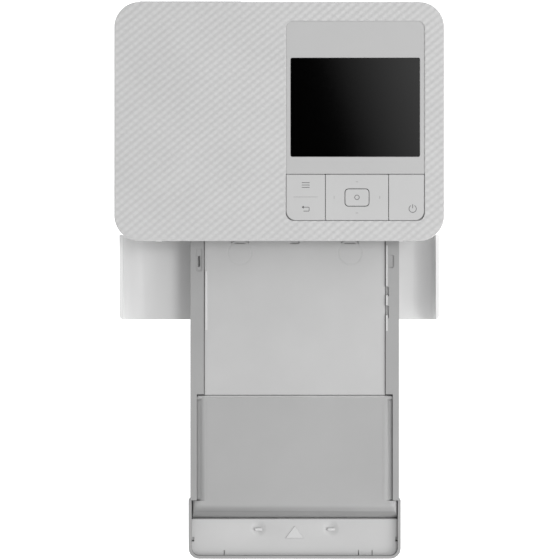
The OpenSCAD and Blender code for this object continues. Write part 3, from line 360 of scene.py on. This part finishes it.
def apply_boolean(obj, other, operation, solver="MANIFOLD"):
    """Cuts obj with other and keeps the result as obj's own mesh."""
    mod = obj.modifiers.new("cut", "BOOLEAN")
    mod.operation = operation
    mod.object = other
    mod.solver = solver
    graph = bpy.context.evaluated_depsgraph_get()
    mesh = bpy.data.meshes.new_from_object(obj.evaluated_get(graph))
    obj.modifiers.clear()
    obj.data = mesh
    bpy.data.objects.remove(other)


def only_material(obj, material):
    obj.data.materials.clear()
    obj.data.materials.append(MATERIALS[material])


# Top cover with its embossed lattice ------------------------------------------

CORNER_R = 14 * MM
EDGE_R = 0.9 * MM
LATTICE_X = 5.19 * MM
LATTICE_Y = 4.26 * MM
LATTICE_DEPTH = 0.34 * MM
STEPS_PER_CELL = 10
BLOCK_MARGIN = 2 * MM
SHARP_ANGLE = math.radians(32)


def lattice_drop(x, y):
    """How far the embossed surface lies below the cover's highest level: rows of soft diamonds."""
    rising = 2 * math.pi * (x / LATTICE_X - y / LATTICE_Y)
    falling = 2 * math.pi * (x / LATTICE_X + y / LATTICE_Y)
    return LATTICE_DEPTH * (0.5 + 0.3 * math.cos(rising) + 0.2 * math.cos(falling))


def lattice_block():
    """A slab over the whole plan whose upper face carries the lattice."""
    x0, x1 = COVER_LOW[0] - BLOCK_MARGIN, COVER_HIGH[0] + BLOCK_MARGIN
    y0, y1 = COVER_LOW[1] - BLOCK_MARGIN, COVER_HIGH[1] + BLOCK_MARGIN
    nx = int((x1 - x0) / LATTICE_X * STEPS_PER_CELL)
    ny = int((y1 - y0) / LATTICE_Y * STEPS_PER_CELL)
    top = COVER_HIGH[2]
    verts, faces = [], []
    for j in range(ny + 1):
        y = y0 + (y1 - y0) * j / ny
        for i in range(nx + 1):
            x = x0 + (x1 - x0) * i / nx
            verts.append((x, y, top - lattice_drop(x, y)))
    row = nx + 1
    for j in range(ny):
        for i in range(nx):
            a = j * row + i
            faces.append((a, a + 1, a + row + 1, a + row))
    # Side walls and floor close the slab
    rim = (list(range(row)) + [j * row + nx for j in range(1, ny + 1)]
           + [ny * row + i for i in range(nx - 1, -1, -1)] + [j * row for j in range(ny - 1, 0, -1)])
    base = len(verts)
    count = len(rim)
    verts += [(verts[k][0], verts[k][1], COVER_LOW[2] - BLOCK_MARGIN) for k in rim]
    for k in range(count):
        n = (k + 1) % count
        faces.append((rim[n], rim[k], base + k, base + n))
    faces.append(tuple(base + k for k in range(count - 1, -1, -1)))
    return add_mesh("lattice_block", verts, faces, "cover")


def filleted_block():
    """The cover's outer form, with a rounded upper edge."""
    levels = []
    for inset, z in [(0, COVER_LOW[2] - MM)] + fillet_rings(EDGE_R, COVER_HIGH[2], 6):
        outline = rounded(COVER_LOW[0] + inset, COVER_HIGH[0] - inset, COVER_LOW[1] + inset,
                          COVER_HIGH[1] - inset, CORNER_R - inset, 24)
        levels.append((outline, z))
    return stack("filleted_block", levels, "cover")


def build_top_cover():
    cover = welded_copy("top_cover", "top_shell")
    apply_boolean(cover, filleted_block(), "INTERSECT")
    apply_boolean(cover, lattice_block(), "INTERSECT")
    only_material(cover, "cover")
    for face in cover.data.polygons:
        face.use_smooth = True
    cover.data.set_sharp_from_angle(angle=SHARP_ANGLE)
    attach(cover, "root")
    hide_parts("top_cover")


build_top_cover()


# Front plate of the cassette with its two hollows -----------------------------

PLATE_FACE = PLATE_HIGH[2] - 0.8 * MM
PIP_SPREAD = 20.6 * MM
HOLLOW_Y = PLATE_HIGH[1] - 5.3 * MM
HOLLOWS = [(TRAY_X + side * PIP_SPREAD, HOLLOW_Y) for side in (-1, 1)]
HOLLOW_R = 5.4 * MM
HOLLOW_DEPTH = 1.15 * MM
# The cutter stands this much over the face at the hollow's edge, so the edge comes out clean
HOLLOW_LIP = 0.02 * MM
CUTTER_OUT = 0.3 * MM
CUTTER_RISE = 0.06 * MM
CUTTER_UP = 3 * MM
HOLLOW_STEPS = 12
HOLLOW_SEGMENTS = 48


def hollow_cutter(cx, cy):
    """A closed body whose underside is the form of one hollow."""
    rings = []
    for k in range(HOLLOW_STEPS + 1):
        r = HOLLOW_R * k / HOLLOW_STEPS
        fall = HOLLOW_DEPTH * 0.5 * (1 + math.cos(math.pi * r / HOLLOW_R))
        rings.append((r, PLATE_FACE + HOLLOW_LIP - fall))
    rings.append((HOLLOW_R + CUTTER_OUT, PLATE_FACE + CUTTER_RISE))
    rings.append((HOLLOW_R + CUTTER_OUT, PLATE_FACE + CUTTER_UP))
    verts = [(cx, cy, rings[0][1])]
    for r, z in rings[1:]:
        verts += [(x, y, z) for x, y in arc(cx, cy, r, 0, 360, HOLLOW_SEGMENTS)[:-1]]
    last = len(verts) - HOLLOW_SEGMENTS
    faces = [(0, 1 + (i + 1) % HOLLOW_SEGMENTS, 1 + i) for i in range(HOLLOW_SEGMENTS)]
    faces += bands(1, HOLLOW_SEGMENTS, len(rings) - 2)
    faces.append(tuple(last + i for i in range(HOLLOW_SEGMENTS)))
    return add_mesh("hollow_cutter", verts, faces, "front_plate")


def in_hollow(point):
    return any(math.hypot(point.x - cx, point.y - cy) < HOLLOW_R for cx, cy in HOLLOWS)


def build_front_plate():
    plate = welded_copy("cassette_front_plate", "grip_plate")
    for cx, cy in HOLLOWS:
        apply_boolean(plate, hollow_cutter(cx, cy), "DIFFERENCE", "EXACT")
    # Normals carried over from the solid would spoil the shading of the cut faces
    if "custom_normal" in plate.data.attributes:
        plate.data.attributes.remove(plate.data.attributes["custom_normal"])
    only_material(plate, "front_plate")
    for face in plate.data.polygons:
        face.use_smooth = in_hollow(face.center) and face.normal.z > 0.5
    plate.data.set_sharp_from_angle(angle=SHARP_ANGLE)
    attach(plate, "cassette")
    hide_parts("cassette_front_plate")


build_front_plate()


# Soft rim that closes the gap round the screen's frame, lighter than the frame as painted light ----------

RIM_W = 0.46 * MM
RIM_LOW = 0.1 * MM
RIM_H = 0.9 * MM
RIM_OUT = 0.2 * MM
RIM_START = 0.1 * MM
BEZEL_R = 3.9 * MM


def bezel_rim():
    r = BEZEL_R + RIM_W / 2
    x0, x1 = BEZEL_LOW[0] - RIM_OUT, BEZEL_HIGH[0] + RIM_OUT
    y0, y1 = BEZEL_LOW[1] + RIM_START, BEZEL_HIGH[1] + RIM_OUT
    path = [(x0, y0)] + arc(x0 + r, y1 - r, r, 180, 90, 14) + arc(x1 - r, y1 - r, r, 90, 0, 14) + [(x1, y0)]
    top = BEZEL_HIGH[2] - RIM_LOW
    rim = prism("bezel_rim", stroke(path, RIM_W), top - RIM_H, top, "panel")
    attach(rim, "root")


bezel_rim()


# Marks on the keys and on the cassette ----------------------------------------

MARK_T = 0.03 * MM
LINE_W = 0.32 * MM
DIVIDER_L, DIVIDER_W = 13.4 * MM, 0.25 * MM
DIVIDER_UP = 0.2 * MM
TICK_L = 1.5 * MM
BAR_L = 4.4 * MM
OK_RING_R = 1.25 * MM
POWER_RING_R = 2 * MM
STEM_L, STEM_UP = 2.2 * MM, 1.4 * MM
KEY_Y = (NAV_LOW[1] + NAV_HIGH[1]) / 2
MENU_X = (MENU_LOW[0] + MENU_HIGH[0]) / 2
NAV_X = (NAV_LOW[0] + NAV_HIGH[0]) / 2
SIGN_Y = KEY_Y - 6.3 * MM
POWER_X = POWER_HIGH[0] - 6.3 * MM
ARROW_Y = PLATE_HIGH[1] - 10.7 * MM
ARROW_TOP = PLATE_HIGH[2] - 0.5 * MM
# In millimetres: how far the bars lie above the keys' middle, the ticks from the middle key's centre,
# and the outlines of the arrows
BAR_ROWS = (8.1, 6.8, 5.5)
TICKS_ACROSS = [(0, 8.6), (0, -8.6)]
TICKS_ALONG = [(-12.6, 0), (12.6, 0)]
BACK_HEAD = [(-2.2, 0.9), (-1.1, 0.1), (-1.1, 1.7)]
BACK_TAIL = [(-1.7, 0.9)] + arc(1.5, 0.5, 0.4, 90, 0, 5) + arc(1.5, -0.9, 0.4, 0, -90, 5) + [(-1.2, -1.3)]
LOAD_ARROW = [(-5.1, 0), (5.1, 0), (0, 6.7)]


def mark(name, outlines, top, body, material="print_grey"):
    """Thin shapes that lie on a piece: print, groove fills and painted shade."""
    parts = []
    for i, outline in enumerate(outlines):
        parts.append(prism(f"{name}_{i}", outline, top - MARK_T, top + MARK_T, material))
    joined = parts[0]
    work = bmesh.new()
    for part in parts:
        work.from_mesh(part.data)
    work.to_mesh(joined.data)
    work.free()
    for part in parts[1:]:
        bpy.data.objects.remove(part)
    joined.name = name
    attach(joined, body)


mark("menu_bars", [bar(MENU_X, KEY_Y + up * MM, BAR_L, LINE_W) for up in BAR_ROWS], MENU_HIGH[2],
     "menu_key")
mark("back_arrow", [stroke(placed(MENU_X, SIGN_Y, BACK_TAIL), LINE_W), placed(MENU_X, SIGN_Y, BACK_HEAD)],
     MENU_HIGH[2], "menu_key")
mark("menu_divider", [bar(MENU_X, KEY_Y + DIVIDER_UP, DIVIDER_L, DIVIDER_W)], MENU_HIGH[2], "menu_key",
     "print_faint")
mark("ok_ring", [ring(NAV_X, KEY_Y, OK_RING_R, LINE_W)], OK_HIGH[2], "ok_key")
mark("nav_ticks", [bar(x, y, TICK_L, LINE_W) for x, y in placed(NAV_X, KEY_Y, TICKS_ACROSS)]
     + [bar(x, y, LINE_W, TICK_L) for x, y in placed(NAV_X, KEY_Y, TICKS_ALONG)],
     NAV_HIGH[2], "nav_key", "print_faint")
mark("load_arrow", [placed(TRAY_X, ARROW_Y, LOAD_ARROW)], ARROW_TOP, "cassette", "print_plain")
mark("power_sign", [ring(POWER_X, SIGN_Y, POWER_RING_R, LINE_W, 118, 422),
                    bar(POWER_X, SIGN_Y + STEM_UP, LINE_W, STEM_L)], POWER_HIGH[2], "power_key")


# Cassette details -------------------------------------------------------------

def extrude(name, outline, span, axis, material, body):
    """A strip with the given cross-section along X (outline in Y, Z) or along Y (outline in X, Z)."""
    strip = prism(name, outline, span[0], span[1], material)
    work = bmesh.new()
    work.from_mesh(strip.data)
    for vert in work.verts:
        u, v, along = vert.co
        vert.co = (along, u, v) if axis == "x" else (u, along, v)
    bmesh.ops.recalc_face_normals(work, faces=work.faces)
    work.to_mesh(strip.data)
    work.free()
    for face in strip.data.polygons:
        face.use_smooth = True
    strip.data.set_sharp_from_angle(angle=math.radians(35))
    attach(strip, body)


LID_TOP = LID_HIGH[2]
LID_SIDE_IN = 2.8 * MM
HINGE_Y = LID_HIGH[1] - 1.5 * MM
HINGE_Z = LID_TOP - 1.5 * MM
BARREL_R = 1.69 * MM
BARREL_IN = 3.1 * MM
SHOULDER_W = 5.4 * MM
SHOULDER_DROP = 1.3 * MM
SHOULDER_H = 3.6 * MM
SHOULDER_INNER_H = 1 * MM
SHOULDER_OVER = 0.02 * MM
SHOULDER_CURVE = 1.15
SHOULDER_STEPS = 8
SHOULDER_SPAN = (LID_LOW[1] + 10.8 * MM, HINGE_Y - 1.1 * MM)


def lid_shoulder(side):
    """The soft shoulder along one side of the lid."""
    edge = LID_LOW[0] + LID_SIDE_IN if side < 0 else LID_HIGH[0] - LID_SIDE_IN
    outline = [(edge, LID_TOP - SHOULDER_H)]
    for i in range(SHOULDER_STEPS + 1):
        t = i / SHOULDER_STEPS
        fall = SHOULDER_DROP * (1 - t) ** SHOULDER_CURVE
        outline.append((edge - side * SHOULDER_W * t, LID_TOP + SHOULDER_OVER - fall))
    outline.append((edge - side * SHOULDER_W, LID_TOP - SHOULDER_INNER_H))
    if side < 0:
        outline.reverse()
    # The left shoulder takes the darker copy of the lid's plastic as painted shade, the right one the lid's
    # own
    name, material = ("lid_shoulder_left", "lid_painted_shade") if side < 0 else ("lid_shoulder_right", "tray_lid")
    extrude(name, outline, SHOULDER_SPAN, "y", material, "cassette_lid")


lid_shoulder(-1)
lid_shoulder(1)
# The barrel is a light fill that paints light over the shaded gap at the lid's hinge
barrel = [(HINGE_Y, HINGE_Z)] + arc(HINGE_Y, HINGE_Z, BARREL_R, -12, 62, 12)
extrude("lid_barrel", barrel, (LID_LOW[0] + BARREL_IN, LID_HIGH[0] - BARREL_IN), "x",
        "painted_light_tone", "cassette_lid")

# Seal between the plate's back edge and the lid, in a light tone that paints light over the gap's shade:
# back and front, foot, and the slope on top
SEAL_BACK, SEAL_FRONT = PLATE_HIGH[1] + 0.44 * MM, PLATE_HIGH[1] - 0.05 * MM
SEAL_FOOT = PLATE_LOW[2] - 1.2 * MM
SEAL_IN = 0.5 * MM
seal = [(SEAL_FRONT, SEAL_FOOT), (SEAL_BACK, SEAL_FOOT), (SEAL_BACK, PLATE_LOW[2] + 0.4 * MM),
        (SEAL_FRONT, PLATE_LOW[2] + 1.58 * MM)]
extrude("plate_seal", seal, (PLATE_LOW[0] + SEAL_IN, PLATE_HIGH[0] - SEAL_IN), "x",
        "painted_light_tone", "cassette")

PIP_L, PIP_W, PIP_SOFT = 4.4 * MM, 1.7 * MM, 0.5 * MM
PIP_LOW, PIP_TOP = PLATE_HIGH[2] - 2.1 * MM, PLATE_HIGH[2] - 0.1 * MM
PIP_Y = PLATE_HIGH[1] - 5.8 * MM


def pip(name, cx, cy):
    """A rounded bar that stands in its hollow, in a light tone that paints its highlight."""
    levels = []
    for inset, z in [(0, PIP_LOW)] + fillet_rings(PIP_SOFT, PIP_TOP, 4):
        half_l, half_w = PIP_L / 2 - inset, PIP_W / 2 - inset
        levels.append((rounded(cx - half_l, cx + half_l, cy - half_w, cy + half_w, half_w * 0.96, 6), z))
    obj = stack(name, levels, "painted_light_tone", True)
    obj.data.set_sharp_from_angle(angle=EDGE_ANGLE)
    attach(obj, "cassette")


for number, hollow in enumerate(HOLLOWS):
    pip(f"pip_{number}", hollow[0], PIP_Y)

SHEET_TOP = SHEET_HIGH[2]
MARK_SPREAD = 31 * MM
MARK_Y = FRONT_Y - 6.2 * MM
MARK_R, MARK_W = 6.65 * MM, 1.14 * MM
MARK_SUNK = 0.036 * MM
CATCH_SPREAD = 57.55 * MM
CATCH_W, CATCH_L = 1.5 * MM, 2.3 * MM
CATCH_Y = PLATE_LOW[1] + 9.6 * MM
CATCH_TOP = PLATE_HIGH[2] - 1.3 * MM

for side in (-1, 1):
    groove = ring(TRAY_X + side * MARK_SPREAD, MARK_Y, MARK_R, MARK_W, 0, 360, 72)
    mark(f"round_mark_{side + 1}", [groove], SHEET_TOP - MARK_SUNK, "cassette", "tray_cover")
    # Grey bars over the side catches paint the soft shade in their slots
    catch = bar(TRAY_X + side * CATCH_SPREAD, CATCH_Y, CATCH_W, CATCH_L)
    mark(f"side_catch_{side + 1}", [catch], CATCH_TOP, "cassette", "print_faint")

RIB_FOOT, RIB_RISE, RIB_SOFT = 0.3 * MM, 0.35 * MM, 0.25 * MM
SHEET_RIB_X = SHEET_LOW[0] + 0.1 * MM
SHEET_RIB_W = 1.5 * MM
RAIL_RIB_X = SHEET_HIGH[0] + 0.35 * MM
RAIL_RIB_W = 1.2 * MM
RAIL_TOP = TRAY_HIGH[2] - 0.15 * MM
# Where the ribs begin and end along Y, in millimetres
SHEET_RIB_SPAN = (-26.8, 6.5)
RAIL_RIB_SPANS = ((-1.9, 21.0), (-12.7, -7.2), (-27.3, -18.4))


def rib(name, x0, width, span, top):
    """A low rib with chamfered long edges on the cassette, in a light tone that paints the light on its
    edge.
    """
    x1 = x0 + width
    outline = [(x0, top - RIB_FOOT), (x1, top - RIB_FOOT), (x1, top), (x1 - RIB_SOFT, top + RIB_RISE),
               (x0 + RIB_SOFT, top + RIB_RISE), (x0, top)]
    extrude(name, outline, (span[0] * MM, span[1] * MM), "y", "painted_light_tone", "cassette")


rib("sheet_rib", SHEET_RIB_X, SHEET_RIB_W, SHEET_RIB_SPAN, SHEET_TOP)
for number, rail_span in enumerate(RAIL_RIB_SPANS):
    rib(f"rail_rib_{number}", RAIL_RIB_X, RAIL_RIB_W, rail_span, RAIL_TOP)


# Studio -----------------------------------------------------------------------

# Name, place, size and power
LIGHTS = (("key", (1.5, -0.68, 1.15), 1.0, 15), ("overhead", (0.6, 0.1, 1.85), 0.42, 8.6))
LIGHT_AIM = (0, 0, 0.03)
FLOOR_HALF = 2.5
FLOOR_Z = -0.1 * MM
# The photograph looks straight down from high above, with a long lens
PIXEL = 0.5516 * MM
CAMERA_UP = 1.3
SENSOR = 36
PHOTO_SIZE = 560
FRONT_EDGE_PX = 240.9
BODY_MIDDLE_PX = 279.3
# Tones of the surround from left to right; a narrow dark band overhead, which the screen mirrors,
# turns bright to the right
SKY = ((0.44, 0.8), (0.46, 0.0), (0.523, 0.0), (0.546, 1.6), (0.56, 1.0))
SKY_LEFT, SKY_RIGHT = 0.8, 1.0


def studio_floor():
    mat = bpy.data.materials.new("floor")
    mat.use_nodes = True
    shader = mat.node_tree.nodes["Principled BSDF"]
    shader.inputs["Base Color"].default_value = grey(0.95)
    shader.inputs["Roughness"].default_value = 0.9
    shader.inputs["Specular IOR Level"].default_value = 0
    shader.inputs["Emission Color"].default_value = grey(1)
    shader.inputs["Emission Strength"].default_value = 0.8
    floor = bpy.data.objects.new("floor", bpy.data.meshes.new("floor"))
    corners = [(x * FLOOR_HALF, y * FLOOR_HALF, FLOOR_Z) for x, y in ((-1, -1), (1, -1), (1, 1), (-1, 1))]
    floor.data.from_pydata(corners, [], [(0, 1, 2, 3)])
    floor.data.materials.append(mat)
    bpy.context.scene.collection.objects.link(floor)


def area_light(name, place, size, power):
    data = bpy.data.lights.new(name, "AREA")
    data.shape = "RECTANGLE"
    data.size = data.size_y = size
    data.energy = power
    lamp = bpy.data.objects.new(name, data)
    lamp.location = place
    lamp.rotation_euler = (Vector(LIGHT_AIM) - Vector(place)).to_track_quat("-Z", "Y").to_euler()
    bpy.context.scene.collection.objects.link(lamp)


def studio_world():
    """Soft surround that is brighter to the right, as from a large window of cloth."""
    world = bpy.data.worlds.new("studio")
    world.use_nodes = True
    tree = world.node_tree
    tree.nodes.clear()
    out = node_at(tree, "ShaderNodeOutputWorld", 600, 0)
    background = node_at(tree, "ShaderNodeBackground", 400, 0, Strength=0.85)
    coords = node_at(tree, "ShaderNodeTexCoord", -400, 0)
    parts = node_at(tree, "ShaderNodeSeparateXYZ", -200, 0)
    ramp = node_at(tree, "ShaderNodeValToRGB", 100, 0)
    elements = ramp.color_ramp.elements
    elements[0].position, elements[0].color = 0, grey(SKY_LEFT)
    elements[1].position, elements[1].color = 1, grey(SKY_RIGHT)
    for position, tone in SKY:
        elements.new(position).color = grey(tone)
    half = node_at(tree, "ShaderNodeMapRange", -50, -150, From_Min=-1)
    slant = node_at(tree, "ShaderNodeMath", -120, -60)
    slant.operation = "MULTIPLY_ADD"
    slant.inputs[1].default_value = 0.3
    tree.links.new(coords.outputs["Generated"], parts.inputs["Vector"])
    tree.links.new(parts.outputs["Y"], slant.inputs[0])
    tree.links.new(parts.outputs["X"], slant.inputs[2])
    tree.links.new(slant.outputs["Value"], half.inputs["Value"])
    tree.links.new(half.outputs["Result"], ramp.inputs["Fac"])
    tree.links.new(ramp.outputs["Color"], background.inputs["Color"])
    tree.links.new(background.outputs["Background"], out.inputs["Surface"])
    bpy.context.scene.world = world


def studio_camera():
    data = bpy.data.cameras.new("camera")
    data.sensor_width = SENSOR
    data.lens = SENSOR * CAMERA_UP / (PHOTO_SIZE * PIXEL)
    data.clip_end = 20
    camera = bpy.data.objects.new("camera", data)
    x = (PHOTO_SIZE / 2 - BODY_MIDDLE_PX) * PIXEL
    y = FRONT_Y + (FRONT_EDGE_PX - PHOTO_SIZE / 2) * PIXEL
    camera.location = (x, y, COVER_HIGH[2] + CAMERA_UP)
    bpy.context.scene.collection.objects.link(camera)
    bpy.context.scene.camera = camera


studio_floor()
studio_world()
for light in LIGHTS:
    area_light(*light)
studio_camera()
scene = bpy.context.scene
scene.view_settings.view_transform = "Standard"
scene.view_settings.look = "None"
